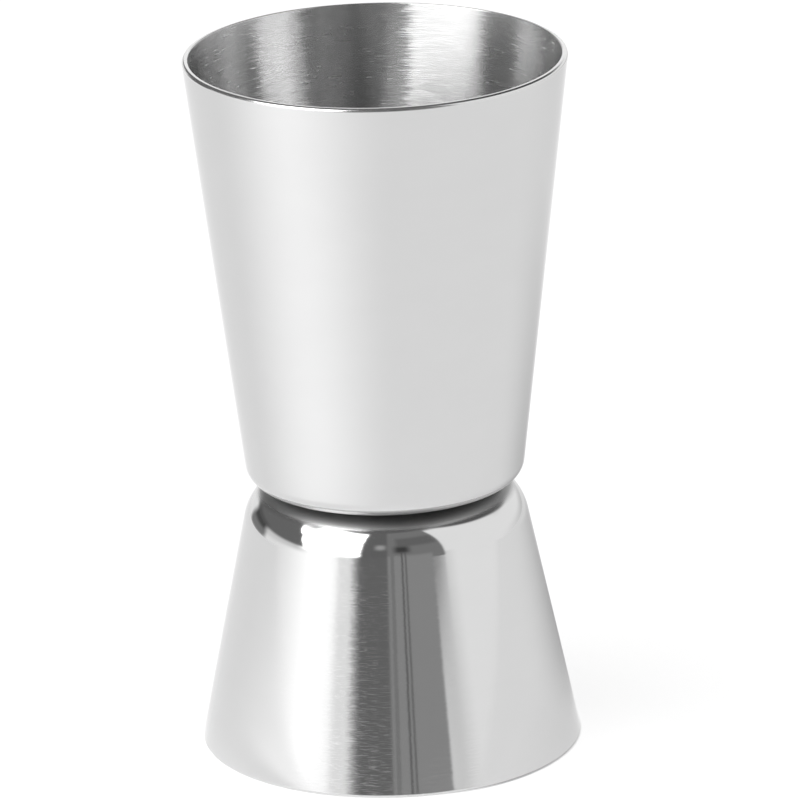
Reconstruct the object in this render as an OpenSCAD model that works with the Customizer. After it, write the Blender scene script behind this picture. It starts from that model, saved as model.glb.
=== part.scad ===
// Two-ended bar jigger: two deep-drawn cups welded floor to floor.
// The origin is the centre of the small cup's rim, on which the jigger stands. +Z points to the large cup.

/* [Large cup] */
// Outside diameter of the rim
large_rim_d = 43; // [40:0.5:52]
// Height from the floor's outer face to the rim
large_h = 49.4; // [40:0.2:60]
// Angle by which the wall leans out from the axis, in degrees
large_lean = 6.9; // [3:0.1:9]
// Outside radius of the corner between wall and floor
large_corner_r = 2.1; // [1.2:0.1:4]

/* [Small cup] */
// Outside diameter of the rim
small_rim_d = 43; // [40:0.5:52]
// Height from the rim to the floor's outer face
small_h = 31; // [24:0.5:36]
// Angle by which the wall leans out from the axis, in degrees
small_lean = 11.7; // [6:0.1:13]
// Outside radius of the shoulder between wall and floor
small_corner_r = 5.7; // [2:0.1:6]

/* [Sheet] */
// Thickness of the drawn stainless sheet
sheet_t = 0.7; // [0.6:0.05:0.9]
// Radius of the rim's outer edge
rim_outer_edge_r = 0.35; // [0.1:0.01:0.4]
// Radius of the rim's inner edge
rim_inner_edge_r = 0.12; // [0.05:0.01:0.14]

/* [Spot welds] */
// Number of weld nuggets
weld_count = 3; // [2:1:5]
// Diameter of one nugget
weld_d = 3; // [2:0.1:3.5]
// Diameter of the circle that the nuggets' centres lie on
weld_circle_d = 8; // [7:0.5:9]
// Share of each floor's thickness that a nugget reaches into
weld_reach_share = 0.6; // [0.3:0.05:0.8]

/* [Hidden] */

// Largest angle that one straight piece of an arc spans, in degrees
arc_step = 5;
turn_fn = 180;
weld_fn = 48;
weld_reach = weld_reach_share * sheet_t;

// Points along an arc about a centre, with angles in degrees.
function arc(centre, r, from, to) =
    let (pieces = ceil(abs(to - from) / arc_step))
    [for (i = [0:pieces])
        let (angle = from + (to - from) * i / pieces)
        centre + r * [cos(angle), sin(angle)]];

// Half section of a cup that stands on its floor. The wall is tangent to the rim's outer edge arc.
// The two arcs of the floor corner share a centre, so the sheet has one thickness all the way round.
function cup_section(rim_r, lean, h, corner_r) =
    let (
        outer_edge = [rim_r - rim_outer_edge_r, h - rim_outer_edge_r],
        // Distance from the axis to a point at height y that lies a depth below the wall's outer face
        wall_x = function(y, depth)
            outer_edge.x + (rim_outer_edge_r - depth + (y - outer_edge.y) * sin(lean)) / cos(lean),
        inner_y = h - rim_inner_edge_r,
        inner_edge = [wall_x(inner_y, sheet_t - rim_inner_edge_r), inner_y],
        corner = [wall_x(corner_r, corner_r), corner_r]
    )
    concat(
        [[0, 0]],
        arc(corner, corner_r, -90, -lean),
        arc(outer_edge, rim_outer_edge_r, -lean, 90),
        arc(inner_edge, rim_inner_edge_r, 90, 180 - lean),
        arc(corner, corner_r - sheet_t, -lean, -90),
        [[0, sheet_t]]
    );

module cup(rim_d, lean, h, corner_r) {
    rotate_extrude($fn = turn_fn)
        polygon(cup_section(rim_d / 2, lean, h, corner_r));
}

// The nuggets straddle the plane where the two floors touch.
module weld_nuggets() {
    for (i = [0:weld_count - 1])
        rotate([0, 0, 360 * i / weld_count])
            translate([weld_circle_d / 2, 0, small_h - weld_reach])
                cylinder(d = weld_d, h = 2 * weld_reach, $fn = weld_fn);
}

module large_cup() {
    color("silver")
        difference() {
            translate([0, 0, small_h])
                cup(large_rim_d, large_lean, large_h, large_corner_r);
            weld_nuggets();
        }
}

module small_cup() {
    color("gainsboro")
        difference() {
            translate([0, 0, small_h])
                mirror([0, 0, 1])
                    cup(small_rim_d, small_lean, small_h, small_corner_r);
            weld_nuggets();
        }
}

module spot_welds() {
    color("dimgray")
        weld_nuggets();
}

large_cup();
small_cup();
spot_welds();
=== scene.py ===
"""Looks of a two-ended bar jigger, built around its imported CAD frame. Units are metres."""

from math import ceil, cos, pi, radians, sin

import bmesh
import bpy
from mathutils import Matrix, Vector


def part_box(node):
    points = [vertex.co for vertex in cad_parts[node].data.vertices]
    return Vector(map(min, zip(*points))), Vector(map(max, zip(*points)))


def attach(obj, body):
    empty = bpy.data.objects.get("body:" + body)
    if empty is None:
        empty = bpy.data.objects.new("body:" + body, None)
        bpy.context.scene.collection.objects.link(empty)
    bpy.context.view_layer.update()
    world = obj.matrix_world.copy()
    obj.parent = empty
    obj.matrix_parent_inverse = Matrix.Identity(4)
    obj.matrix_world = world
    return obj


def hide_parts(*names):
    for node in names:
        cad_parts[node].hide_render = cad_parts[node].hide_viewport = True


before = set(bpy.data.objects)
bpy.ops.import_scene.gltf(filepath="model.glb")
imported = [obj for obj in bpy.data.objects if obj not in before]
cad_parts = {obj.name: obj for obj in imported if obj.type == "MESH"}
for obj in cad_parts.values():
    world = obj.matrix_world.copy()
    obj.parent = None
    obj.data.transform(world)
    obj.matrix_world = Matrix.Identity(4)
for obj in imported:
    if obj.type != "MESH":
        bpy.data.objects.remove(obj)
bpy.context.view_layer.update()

MM = 0.001

# ---------------------------------------------------------------- sizes

large_low, large_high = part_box("large_cup")
small_low, small_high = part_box("small_cup")
# Height at which the two floors touch, and outside radius of the rim that the jigger stands on
WAIST_Z = large_low.z
FOOT_R = small_high.x
# Thickness of the sheet, and radii of the rim's two edges
SHEET = 0.7 * MM
RIM_OUTER_EDGE = 0.35 * MM
RIM_INNER_EDGE = 0.12 * MM
# Angle by which each wall leans out, and outside radius of the corner between wall and floor
LARGE_LEAN = radians(6.9)
LARGE_CORNER = 2.1 * MM
SMALL_LEAN = radians(11.7)
SMALL_CORNER = 5.7 * MM

# Segments round the axis, largest step of an arc, and about how far apart the rows of a straight stretch are
SEGMENTS = 288
ARC_STEP = radians(3)
WALL_ROW = 1.5 * MM
RIM_ROW = 0.1 * MM
# A straight stretch has a row this close to each of its ends, so that the shading stays true there.
END_ROW = 0.03 * MM


# ---------------------------------------------------------------- cups

def arc(centre, r, start, end):
    """Points along an arc, from one angle to another."""
    pieces = ceil(abs(end - start) / ARC_STEP)
    turns = [start + (end - start) * i / pieces for i in range(pieces + 1)]
    return [(centre[0] + r * cos(a), centre[1] + r * sin(a)) for a in turns]


def straight(start, end, row):
    """Points about a row apart between two ends, which are left out, and one more close to each end."""
    length = ((end[0] - start[0]) ** 2 + (end[1] - start[1]) ** 2) ** 0.5
    pieces = max(1, round(length / row))
    shares = [i / pieces for i in range(1, pieces)]
    near = END_ROW / length
    shares = [near] + shares + [1 - near]
    return [tuple(a + (b - a) * s for a, b in zip(start, end)) for s in shares]


def cup_section(rim_r, lean, height, corner_r):
    """Half section of a cup standing on its floor: a list of (surface name, points)."""
    edge = (rim_r - RIM_OUTER_EDGE, height - RIM_OUTER_EDGE)

    def wall_x(y, depth):
        return edge[0] + (RIM_OUTER_EDGE - depth + (y - edge[1]) * sin(lean)) / cos(lean)

    inner_y = height - RIM_INNER_EDGE
    inner_edge = (wall_x(inner_y, SHEET - RIM_INNER_EDGE), inner_y)
    corner = (wall_x(corner_r, corner_r), corner_r)

    outer_corner = arc(corner, corner_r, -pi / 2, -lean)
    outer_edge = arc(edge, RIM_OUTER_EDGE, -lean, pi / 2)
    inner_rim = arc(inner_edge, RIM_INNER_EDGE, pi / 2, pi - lean)
    inner_corner = arc(corner, corner_r - SHEET, -lean, -pi / 2)

    outside = straight((0, 0), outer_corner[0], WALL_ROW) + outer_corner
    outside += straight(outer_corner[-1], outer_edge[0], WALL_ROW)
    rim = outer_edge + straight(outer_edge[-1], inner_rim[0], RIM_ROW) + inner_rim
    inside = straight(inner_rim[-1], inner_corner[0], WALL_ROW) + inner_corner
    inside += straight(inner_corner[-1], (0, SHEET), WALL_ROW)
    return [("outside", outside), ("rim", rim), ("inside", inside)]


def turned(name, section, to_z, surfaces):
    """Turns a half section about the axis into one closed mesh. to_z maps a height in it to Z."""
    bm = bmesh.new()
    rows = [(point, surfaces.index(surface)) for surface, points in section for point in points]
    turns = [2 * pi * i / SEGMENTS for i in range(SEGMENTS)]
    rings = []
    for (r, y), slot in rows:
        ring = [bm.verts.new((r * cos(a), r * sin(a), to_z(y))) for a in turns]
        rings.append((ring, slot))
    for (low, _), (high, slot) in zip(rings, rings[1:]):
        for i in range(SEGMENTS):
            j = (i + 1) % SEGMENTS
            face = bm.faces.new((low[i], low[j], high[j], high[i]))
            face.material_index = slot
    for (ring, slot), y in ((rings[0], 0), (rings[-1], SHEET)):
        pole = bm.verts.new((0, 0, to_z(y)))
        for i in range(SEGMENTS):
            face = bm.faces.new((ring[i], ring[(i + 1) % SEGMENTS], pole))
            face.material_index = slot
    bmesh.ops.recalc_face_normals(bm, faces=bm.faces)
    for face in bm.faces:
        face.smooth = True
    mesh = bpy.data.meshes.new(name)
    bm.to_mesh(mesh)
    bm.free()
    cup = bpy.data.objects.new(name, mesh)
    bpy.context.scene.collection.objects.link(cup)
    return cup


# ---------------------------------------------------------------- materials

class Nodes:
    """A node tree with short calls for adding and joining nodes."""

    def __init__(self, owner):
        owner.use_nodes = True
        self.tree = owner.node_tree
        self.tree.nodes.clear()

    def add(self, kind, inputs=None, **settings):
        node = self.tree.nodes.new(kind)
        for key, value in settings.items():
            setattr(node, key, value)
        for key, value in (inputs or {}).items():
            socket = node.inputs[key]
            if isinstance(value, bpy.types.NodeSocket):
                self.tree.links.new(value, socket)
            else:
                socket.default_value = value
        return node

    def maths(self, operation, *values):
        inputs = dict(enumerate(values))
        return self.add("ShaderNodeMath", inputs, operation=operation).outputs[0]

    def plus(self, a, b):
        return self.maths("ADD", a, b)

    def minus(self, a, b):
        return self.maths("SUBTRACT", a, b)

    def times(self, a, b):
        return self.maths("MULTIPLY", a, b)

    def over(self, a, b):
        return self.maths("DIVIDE", a, b)

    def vector(self, x, y, z):
        return self.add("ShaderNodeCombineXYZ", {0: x, 1: y, 2: z}).outputs[0]

    def noise(self, place, detail):
        inputs = {"Vector": place, "Scale": 1.0, "Detail": detail}
        return self.add("ShaderNodeTexNoise", inputs).outputs[0]

    def ramp(self, value, low, high, to_low=0.0, to_high=1.0, smooth=False):
        inputs = {"Value": value, "From Min": low, "From Max": high, "To Min": to_low, "To Max": to_high}
        kind = "SMOOTHSTEP" if smooth else "LINEAR"
        return self.add("ShaderNodeMapRange", inputs, interpolation_type=kind).outputs[0]

    def mix(self, share, start, end):
        inputs = {"Factor": share, "A": start, "B": end}
        return self.add("ShaderNodeMix", inputs, data_type="FLOAT").outputs[0]


# Radius at which a line has its stated length. Nearer the axis lines are shorter.
LINE_RADIUS = 18 * MM
# Least distance from the axis that a direction is worked out with, so that nothing is divided by zero
AXIS_R = 0.1 * MM
# Wear and grey change from patch to patch: how often round the axis, and how often per line along it.
PATCH_TURNS = 2.5
PATCHES_PER_LINE = 0.03
# Octaves of the noise that makes the lines and of the one that makes the patches
LINE_DETAIL = 2.0
PATCH_DETAIL = 3.0
# The middle of the noise, which lies mostly between 0.3 and 0.7, and the stretches of it over which each
# value changes
NOISE_MIDDLE = 0.5
GREY_NOISE = (0.3, 0.7)
WEAR_NOISE = (0.25, 0.5)
LINE_NOISE = (0.48, 0.72)
# Wear of the patches that are brushed the least
CALM_WEAR = 0.8
# Part of a full turn that draws the gloss out along the axis, across the lines
GLOSS_TURN = 0.25

# The dull zone round the waist, which also carries painted shade, starts at the first of these distances
# from the axis, and is whole at the second.
GROOVE_ACROSS = (17 * MM, 16 * MM)
# It fades in over the first pair of heights, on the small cup's shoulder. On the large cup's corner its
# roughness fades out over the second pair and its painted shade over the third.
SHOULDER_DULL_AND_SHADE = (WAIST_Z - 2.0 * MM, WAIST_Z - 1.1 * MM)
CORNER_DULL = (WAIST_Z + 1.2 * MM, WAIST_Z + 0.5 * MM)
CORNER_PAINTED_SHADE = (WAIST_Z + 0.3 * MM, WAIST_Z + 0.1 * MM)
# Grey that the painted shade at the waist gives the steel, and roughness of the dull zone
GROOVE_PAINTED_SHADE_GREY = 0.3
GROOVE_ROUGHNESS = 0.4

# Scratches are strong only on the small cup's wall, a little left of the front: the direction of their
# middle, the cosines of the angles from it at which they start and are strongest, and two such heights.
WORN_SIDE = (-sin(radians(15)), -cos(radians(15)))
WORN_EDGE = (cos(radians(18)), cos(radians(9)))
WORN_BELOW = (WAIST_Z - 3.5 * MM, WAIST_Z - 6 * MM)
# Past each of these two limits the strength of the scratches is multiplied by this.
LEAST_WEAR = 0.2


def worn_in_front(nodes, wear, ux, uy, z):
    """Weakens the outside's wear away from the place that is scratched the most."""
    facing = nodes.plus(nodes.times(ux, WORN_SIDE[0]), nodes.times(uy, WORN_SIDE[1]))
    beside = nodes.ramp(facing, *WORN_EDGE, smooth=True)
    below = nodes.ramp(z, *WORN_BELOW, smooth=True)
    wear = nodes.times(wear, nodes.mix(beside, LEAST_WEAR, 1.0))
    return nodes.times(wear, nodes.mix(below, LEAST_WEAR, 1.0))


def dull_groove_and_painted_shade(nodes, base, rough, across, z):
    """Makes the zone round the waist dull, where a polishing wheel does not reach, and paints shade into its
    grey.
    """
    near = nodes.ramp(across, *GROOVE_ACROSS)
    shoulder = nodes.times(near, nodes.ramp(z, *SHOULDER_DULL_AND_SHADE, smooth=True))
    # Painted shade: the grey falls towards the waist and ends on the large cup's corner.
    dark = nodes.times(shoulder, nodes.ramp(z, *CORNER_PAINTED_SHADE, smooth=True))
    dull = nodes.times(shoulder, nodes.ramp(z, *CORNER_DULL, smooth=True))
    return nodes.mix(dark, base, GROOVE_PAINTED_SHADE_GREY), nodes.mix(dull, rough, GROOVE_ROUGHNESS)


def steel(name, grey, grey_range, roughness, rough_range, anisotropic, line_length, line_width, jitter,
          edge_tint=1.0, outside=False):
    """Stainless steel with fine lines round the axis, as brushing in a lathe leaves them.

    grey_range: how far the grey strays from patch to patch. rough_range: how much rougher a line is.
    jitter: how far, as a slope, single lines turn the surface to the left or right. edge_tint: how bright
    reflections near grazing are. outside: whether the steel has the worn front and the dull groove with
    painted shade.
    """
    material = bpy.data.materials.new(name)
    nodes = Nodes(material)
    place = nodes.add("ShaderNodeTexCoord").outputs["Object"]
    x, y, z = nodes.add("ShaderNodeSeparateXYZ", {0: place}).outputs
    across = nodes.maths("SQRT", nodes.plus(nodes.times(x, x), nodes.times(y, y)))
    across = nodes.maths("MAXIMUM", across, AXIS_R)
    # Direction from the axis, as a vector of length 1
    ux = nodes.over(x, across)
    uy = nodes.over(y, across)
    turns = LINE_RADIUS / line_length
    # Height on the wall and distance from the axis on the floor both count the lines.
    along = nodes.over(nodes.minus(z, across), line_width)
    lines_at = nodes.vector(nodes.times(ux, turns), nodes.times(uy, turns), along)
    lines = nodes.noise(lines_at, LINE_DETAIL)
    patches_at = nodes.vector(nodes.times(ux, PATCH_TURNS), nodes.times(uy, PATCH_TURNS),
                              nodes.times(along, PATCHES_PER_LINE))
    patches = nodes.noise(patches_at, PATCH_DETAIL)

    wear = nodes.ramp(patches, *WEAR_NOISE, CALM_WEAR, 1.0)
    if outside:
        wear = worn_in_front(nodes, wear, ux, uy, z)
    base = nodes.ramp(patches, *GREY_NOISE, grey - grey_range, grey + grey_range)
    scratch = nodes.times(wear, nodes.ramp(lines, *LINE_NOISE))
    rough = nodes.mix(scratch, roughness, roughness + rough_range)
    # At the waist the outside gets painted shade in its grey as well as dullness.
    if outside:
        base, rough = dull_groove_and_painted_shade(nodes, base, rough, across, z)

    push = nodes.times(nodes.minus(lines, NOISE_MIDDLE), nodes.times(wear, jitter))
    sideways = nodes.vector(nodes.times(uy, nodes.times(push, -1)), nodes.times(ux, push), 0)
    normal = nodes.add("ShaderNodeNewGeometry").outputs["Normal"]
    normal = nodes.add("ShaderNodeVectorMath", {0: normal, 1: sideways}, operation="ADD").outputs[0]
    normal = nodes.add("ShaderNodeVectorMath", {0: normal}, operation="NORMALIZE").outputs[0]
    tangent = nodes.add("ShaderNodeTangent", direction_type="RADIAL", axis="Z").outputs[0]
    shader = nodes.add("ShaderNodeBsdfPrincipled", {
        "Base Color": nodes.vector(base, base, base), "Metallic": 1.0, "Roughness": rough,
        "Anisotropic": anisotropic, "Anisotropic Rotation": GLOSS_TURN, "Normal": normal, "Tangent": tangent,
        "Specular Tint": (edge_tint, edge_tint, edge_tint, 1)})
    nodes.add("ShaderNodeOutputMaterial", {"Surface": shader.outputs[0]})
    return material


# The steel of each stretch of a cup's section
SURFACES = {
    "outside": steel(
        "polished_steel", grey=0.6, grey_range=0.004, roughness=0.06, rough_range=0.13, anisotropic=0.3,
        line_length=1.2 * MM, line_width=0.11 * MM, jitter=0.13, edge_tint=0.92, outside=True),
    "rim": steel(
        "rim_steel", grey=0.6, grey_range=0.01, roughness=0.18, rough_range=0.05, anisotropic=0.3,
        line_length=3 * MM, line_width=0.05 * MM, jitter=0.05),
    "inside": steel(
        "brushed_steel", grey=0.63, grey_range=0.015, roughness=0.22, rough_range=0.06, anisotropic=1.0,
        line_length=2 * MM, line_width=0.1 * MM, jitter=0.15),
}


def make_cup(node, section, to_z):
    """The smooth cup that stands for a CAD node."""
    cup = turned(node + "_shell", section, to_z, list(SURFACES))
    for material in SURFACES.values():
        cup.data.materials.append(material)
    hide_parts(node)
    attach(cup, "root")


make_cup("large_cup",
         cup_section(large_high.x, LARGE_LEAN, large_high.z - large_low.z, LARGE_CORNER),
         lambda y: WAIST_Z + y)
make_cup("small_cup",
         cup_section(FOOT_R, SMALL_LEAN, small_high.z - small_low.z, SMALL_CORNER),
         lambda y: WAIST_Z - y)

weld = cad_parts["spot_welds"]
weld.data.materials.clear()
weld.data.materials.append(steel(
    "weld_metal", grey=0.35, grey_range=0.1, roughness=0.4, rough_range=0.15, anisotropic=0.0,
    line_length=1 * MM, line_width=0.2 * MM, jitter=0.2))


# ---------------------------------------------------------------- studio

# The azimuths and elevations of the floor and the panels are in degrees: an azimuth is 0 towards the camera
# and positive to the right. Distances on the floor are from the axis.

# The floor: its radius, the number of its corners, the grey of its surface and the strength of its glow
FLOOR_RADIUS = 400 * MM
FLOOR_CORNERS = 96
FLOOR_GREY = 0.86
FLOOR_GLOW = 0.76

# The painted pool of light on the floor on the left: its azimuth, the angle from it at which it has faded
# out, how much it adds to the glow near the jigger, and the distances between which it comes up
PAINTED_POOL_AZIMUTH = -52
PAINTED_POOL_REACH = 62
PAINTED_POOL_NEAR = 0.36
PAINTED_POOL_START = (35 * MM, 80 * MM)
# Between the distances of LIT_START the painted pool gives way to a patch of light painted in front of the
# softbox.
# That is brighter by LIT_GLOW, and beyond the edge of the sheet it is one of the panels.
LIT_START = (120 * MM, 350 * MM)
LIT_AZIMUTH = -56
LIT_HALF = 12
LIT_SOFT = 34
LIT_GLOW = 1.0

# Painted shade on the floor behind on the right, in reflections only: the glow is lower by DIM_NEAR at the
# first distance of DIM_CHANGE and by DIM_FAR at the second. Between the distances of DIM_START it comes up.
DIM_AZIMUTH = 150
DIM_HALF = 20
DIM_SOFT = 34
DIM_START = (FOOT_R, FOOT_R + 6.5 * MM)
DIM_CHANGE = (30 * MM, 180 * MM)
DIM_NEAR = 0.7
DIM_FAR = 0.12

# The contact shadow at the right of the foot: the azimuth of its middle, the angles from it between which it
# comes up, the distances between which it comes up and goes, and how much glow it takes away
CONTACT_AZIMUTH = 75
CONTACT_SIDES = (65, 35)
CONTACT_INNER = (FOOT_R - 0.7 * MM, FOOT_R - 0.5 * MM)
CONTACT_OUTER = (FOOT_R + 0.3 * MM, FOOT_R - 0.2 * MM)
CONTACT_DARK = 0.5


def azimuth_of(nodes, x, y):
    """Azimuth of the direction from the axis to a point."""
    return nodes.maths("DEGREES", nodes.maths("ARCTAN2", x, nodes.times(y, -1)))


def angle_off(nodes, azimuth, middle):
    """How far an azimuth is from another one, whichever way round is shorter."""
    return nodes.maths("ABSOLUTE", nodes.maths("WRAP", nodes.minus(azimuth, middle), 180, -180))


def painted_light_pool(nodes, azimuth, distance):
    """The painted light in the floor's glow: a pool on the left and a patch in front of the softbox."""
    near = nodes.ramp(angle_off(nodes, azimuth, PAINTED_POOL_AZIMUTH), PAINTED_POOL_REACH, 0, 0, PAINTED_POOL_NEAR, smooth=True)
    near = nodes.times(near, nodes.ramp(distance, *PAINTED_POOL_START, smooth=True))
    off = angle_off(nodes, azimuth, LIT_AZIMUTH)
    far = nodes.ramp(off, LIT_HALF + LIT_SOFT, LIT_HALF - LIT_SOFT, 0, LIT_GLOW, smooth=True)
    return nodes.mix(nodes.ramp(distance, *LIT_START, smooth=True), near, far)


def painted_floor_shade(nodes, azimuth, distance):
    """What the painted shade behind on the right takes from the floor's glow. Seen directly, the floor has
    no such shade.
    """
    off = angle_off(nodes, azimuth, DIM_AZIMUTH)
    dim = nodes.ramp(off, DIM_HALF + DIM_SOFT, DIM_HALF - DIM_SOFT, smooth=True)
    dim = nodes.times(dim, nodes.ramp(distance, *DIM_START, smooth=True))
    dim = nodes.times(dim, nodes.ramp(distance, *DIM_CHANGE, DIM_NEAR, DIM_FAR))
    seen = nodes.add("ShaderNodeLightPath").outputs["Is Camera Ray"]
    return nodes.mix(seen, dim, 0.0)


def contact_shadow(nodes, azimuth, distance):
    """The narrow shadow where the rim stands on the floor, on the side away from the lamp."""
    off = angle_off(nodes, azimuth, CONTACT_AZIMUTH)
    shadow = nodes.ramp(off, *CONTACT_SIDES, 0, CONTACT_DARK, smooth=True)
    shadow = nodes.times(shadow, nodes.ramp(distance, *CONTACT_INNER))
    return nodes.times(shadow, nodes.ramp(distance, *CONTACT_OUTER, smooth=True))


def make_floor():
    """A sheet of white acrylic that is lit from below as well as from above, with painted light and shade in
    its glow.
    """
    bpy.ops.mesh.primitive_circle_add(vertices=FLOOR_CORNERS, radius=FLOOR_RADIUS, fill_type="NGON")
    floor = bpy.context.object
    floor.name = "floor"
    material = bpy.data.materials.new("floor_acrylic")
    nodes = Nodes(material)
    place = nodes.add("ShaderNodeTexCoord").outputs["Object"]
    x, y, _ = nodes.add("ShaderNodeSeparateXYZ", {0: place}).outputs
    distance = nodes.add("ShaderNodeVectorMath", {0: place}, operation="LENGTH").outputs["Value"]
    azimuth = azimuth_of(nodes, x, y)
    # The even glow with the painted pool of light on it
    bright = nodes.plus(painted_light_pool(nodes, azimuth, distance), FLOOR_GLOW)
    # Painted shade behind on the right, and the contact shadow
    dark = nodes.plus(painted_floor_shade(nodes, azimuth, distance), contact_shadow(nodes, azimuth, distance))
    glow = nodes.add("ShaderNodeEmission", {"Strength": nodes.minus(bright, dark)})
    paint = nodes.add("ShaderNodeBsdfDiffuse", {"Color": (FLOOR_GREY, FLOOR_GREY, FLOOR_GREY, 1)})
    both = nodes.add("ShaderNodeAddShader", {0: paint.outputs[0], 1: glow.outputs[0]})
    nodes.add("ShaderNodeOutputMaterial", {"Surface": both.outputs[0]})
    floor.data.materials.append(material)


# The top light: its strength, how wide it looks, and where it is
TOP_LIGHT_ENERGY = 0.85
TOP_LIGHT_SPREAD = radians(50)
TOP_LIGHT_AZIMUTH = radians(-60)
TOP_LIGHT_ELEVATION = radians(62)


def make_top_light():
    """A large soft light high on the left. It casts the faint shadow to the right of the foot."""
    data = bpy.data.lights.new("top_light", "SUN")
    data.energy = TOP_LIGHT_ENERGY
    data.angle = TOP_LIGHT_SPREAD
    light = bpy.data.objects.new("top_light", data)
    bpy.context.scene.collection.objects.link(light)
    level = cos(TOP_LIGHT_ELEVATION)
    towards = Vector((sin(TOP_LIGHT_AZIMUTH) * level, -cos(TOP_LIGHT_AZIMUTH) * level,
                      sin(TOP_LIGHT_ELEVATION)))
    light.rotation_euler = towards.to_track_quat("Z", "Y").to_euler()
    light.visible_glossy = False


def panel(middle, half, side_soft, low, high, end_soft, radiance, lean=0.0):
    """A part of the studio as the jigger sees it.

    middle, half: azimuth of the panel's middle, and half its width. low, high: elevations of its lower and
    upper ends. side_soft, end_soft: how far its sides and ends fade either way. lean: how far it shifts to
    the left per degree of height.
    """
    return dict(middle=middle, half=half, side_soft=side_soft, low=low, high=high, end_soft=end_soft,
                radiance=radiance, lean=lean)


# Radiance of the room between the panels, and of the even light that the floor gets
SURROUND = 1.17
AMBIENT = 0.14
# Later panels stand in front of earlier ones.
PANELS = [
    # wall behind the jigger: darker above, and brightest low down in the middle
    panel(180, 60, 12, 28, 90, 6, 0.5),
    panel(180, 12, 8, 10, 28, 5, 1.35),
    # darker floor behind on the right
    panel(DIM_AZIMUTH, DIM_HALF, DIM_SOFT, -30, 2, 5, 0.75),
    # dark upper part of the room, right and behind
    panel(225, 50, 5, 22, 90, 4, 0.1, lean=1.9),
    # unlit ceiling
    panel(0, 181, 1, 60, 95, 3, 0.19),
    # floor in front of the softbox, lit by it
    panel(LIT_AZIMUTH, LIT_HALF, LIT_SOFT, -30, 14, 4, 2.1),
    # softbox on the left
    panel(-62, 40, 2.5, 9, 59, 4, 5.5),
    # its upper left corner, in shade
    panel(-92, 14, 8, 43, 75, 8, 0.75),
    # gap to the left of the softbox, pale low down and dark above
    panel(-98, 28, 8, 3, 20, 4, 0.92),
    panel(-115, 49, 1.5, 10.5, 33, 3, 0.2, lean=0.45),
    panel(-80, 32, 1.5, 27, 90, 3, 0.2, lean=1.08),
    # dark stand behind on the left, and its foot
    panel(-128.5, 13.5, 5, -3, 14, 4, 0.1),
    panel(-128.5, 13.5, 5, -3, 5, 3, 0.28),
    # dark side of the room with the camera in it
    panel(9, 31, 2.5, 5, 90, 2, 0.18),
    # what is below it: lit at the right, dark at the left
    panel(42, 8, 8, -30, 9, 2, 0.92),
    panel(-6, 20.5, 6.5, -30, 9, 2, 0.19),
    # its right part, a little lighter, with a darker stretch high up and a lighter one low down
    panel(23.2, 23.2, 1.5, 2.1, 64, 0.3, 0.27),
    panel(26, 18, 3, 32, 50, 4, 0.19),
    panel(18.15, 17.95, 1.3, -30, 11, 4, 0.36),
    # strip of wall between the softbox and the dark side
    panel(-34, 5, 3, -30, 6, 5, 1.15),
    # legs of the stands beside the camera
    panel(3.7, 1.4, 0.5, -30, 18, 1, 0.27),
    panel(11.3, 0.7, 0.4, -30, 18, 1, 0.16),
    panel(14.2, 0.7, 0.4, -30, 18, 1, 0.2),
    # camera and the lamp beside it
    panel(12, 6, 4, 18, 32, 5, 0.07),
    panel(-6, 4, 3, 26, 36, 4, 0.5),
]


def panel_share(nodes, part, azimuth, elevation):
    """How much a direction sees of a panel, from 0 to 1."""
    middle = nodes.maths("MULTIPLY_ADD", elevation, -part["lean"], part["middle"])
    off = angle_off(nodes, azimuth, middle)
    half, side_soft, end_soft = part["half"], part["side_soft"], part["end_soft"]
    sides = nodes.ramp(off, half + side_soft, half - side_soft, smooth=True)
    above = nodes.ramp(elevation, part["low"] - end_soft, part["low"] + end_soft, smooth=True)
    below = nodes.ramp(elevation, part["high"] + end_soft, part["high"] - end_soft, smooth=True)
    return nodes.times(sides, nodes.times(above, below))


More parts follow.
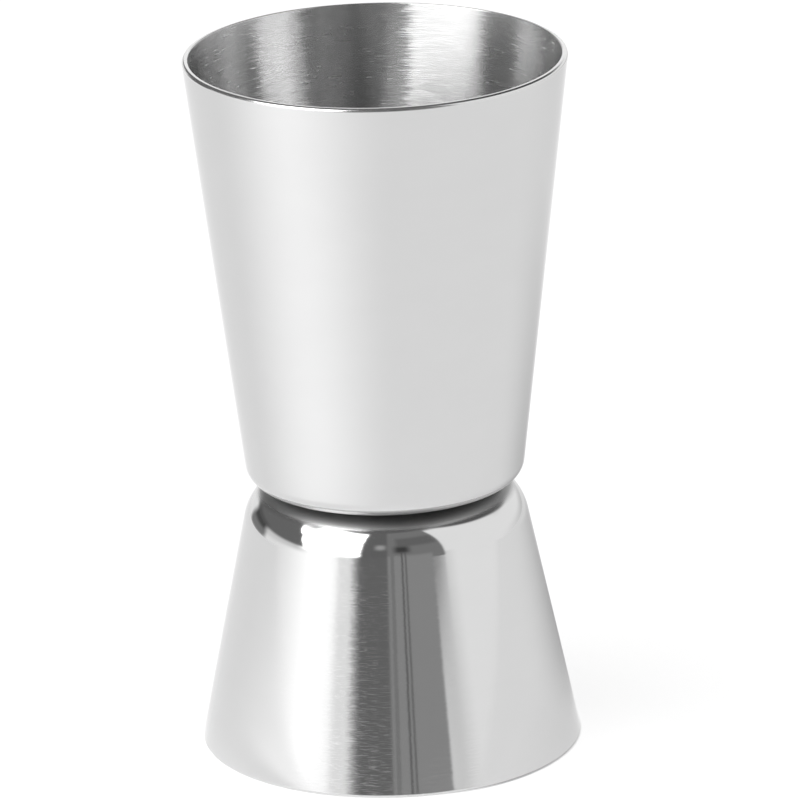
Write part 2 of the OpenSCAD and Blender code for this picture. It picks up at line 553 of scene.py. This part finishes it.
def make_world():
    """The studio as a sky. Each direction has the radiance of the front panel that it meets."""
    world = bpy.data.worlds.new("studio")
    bpy.context.scene.world = world
    # Light Path tells rays apart only where the world is not sampled as a lamp.
    world.cycles.sampling_method = "NONE"
    nodes = Nodes(world)
    direction = nodes.add("ShaderNodeTexCoord").outputs["Generated"]
    x, y, z = nodes.add("ShaderNodeSeparateXYZ", {0: direction}).outputs
    azimuth = azimuth_of(nodes, x, y)
    elevation = nodes.maths("DEGREES", nodes.maths("ARCSINE", z))
    radiance = SURROUND
    for part in PANELS:
        share = panel_share(nodes, part, azimuth, elevation)
        radiance = nodes.mix(share, radiance, part["radiance"])
    # The panels show in the steel only. The floor gets even light, and behind the object it is plain white.
    rays = nodes.add("ShaderNodeLightPath").outputs
    radiance = nodes.mix(rays["Is Diffuse Ray"], radiance, AMBIENT)
    shown = nodes.mix(rays["Is Camera Ray"], radiance, 1.0)
    background = nodes.add("ShaderNodeBackground", {"Color": (1, 1, 1, 1), "Strength": shown})
    nodes.add("ShaderNodeOutputWorld", {"Surface": background.outputs[0]})


# The camera stands in front of the jigger, at -Y. It looks down by the pitch and to the right by the yaw,
# and is tipped about its line of sight by the roll.
CAMERA_PLACE = Vector((0, -871.85 * MM, 332.65 * MM))
CAMERA_PITCH = radians(18.567)
CAMERA_YAW = radians(0.123)
CAMERA_ROLL = radians(-1.417)
# Focal length and width of the sensor in millimetres, as Blender takes them
CAMERA_LENS = 367.13
CAMERA_SENSOR = 36


def make_camera():
    """The view of the real object: slightly from above, with a long lens."""
    data = bpy.data.cameras.new("camera")
    camera = bpy.data.objects.new("camera", data)
    bpy.context.scene.collection.objects.link(camera)
    data.lens = CAMERA_LENS
    data.sensor_width = CAMERA_SENSOR
    forward = Vector((sin(CAMERA_YAW) * cos(CAMERA_PITCH), cos(CAMERA_YAW) * cos(CAMERA_PITCH),
                      -sin(CAMERA_PITCH)))
    level = Vector((cos(CAMERA_YAW), -sin(CAMERA_YAW), 0))
    up = level.cross(forward)
    right = cos(CAMERA_ROLL) * level + sin(CAMERA_ROLL) * up
    up = -sin(CAMERA_ROLL) * level + cos(CAMERA_ROLL) * up
    turn = Matrix((right, up, -forward)).transposed().to_4x4()
    camera.matrix_world = Matrix.Translation(CAMERA_PLACE) @ turn
    bpy.context.scene.camera = camera


make_floor()
make_top_light()
make_world()
make_camera()
bpy.context.scene.view_settings.view_transform = "Standard"
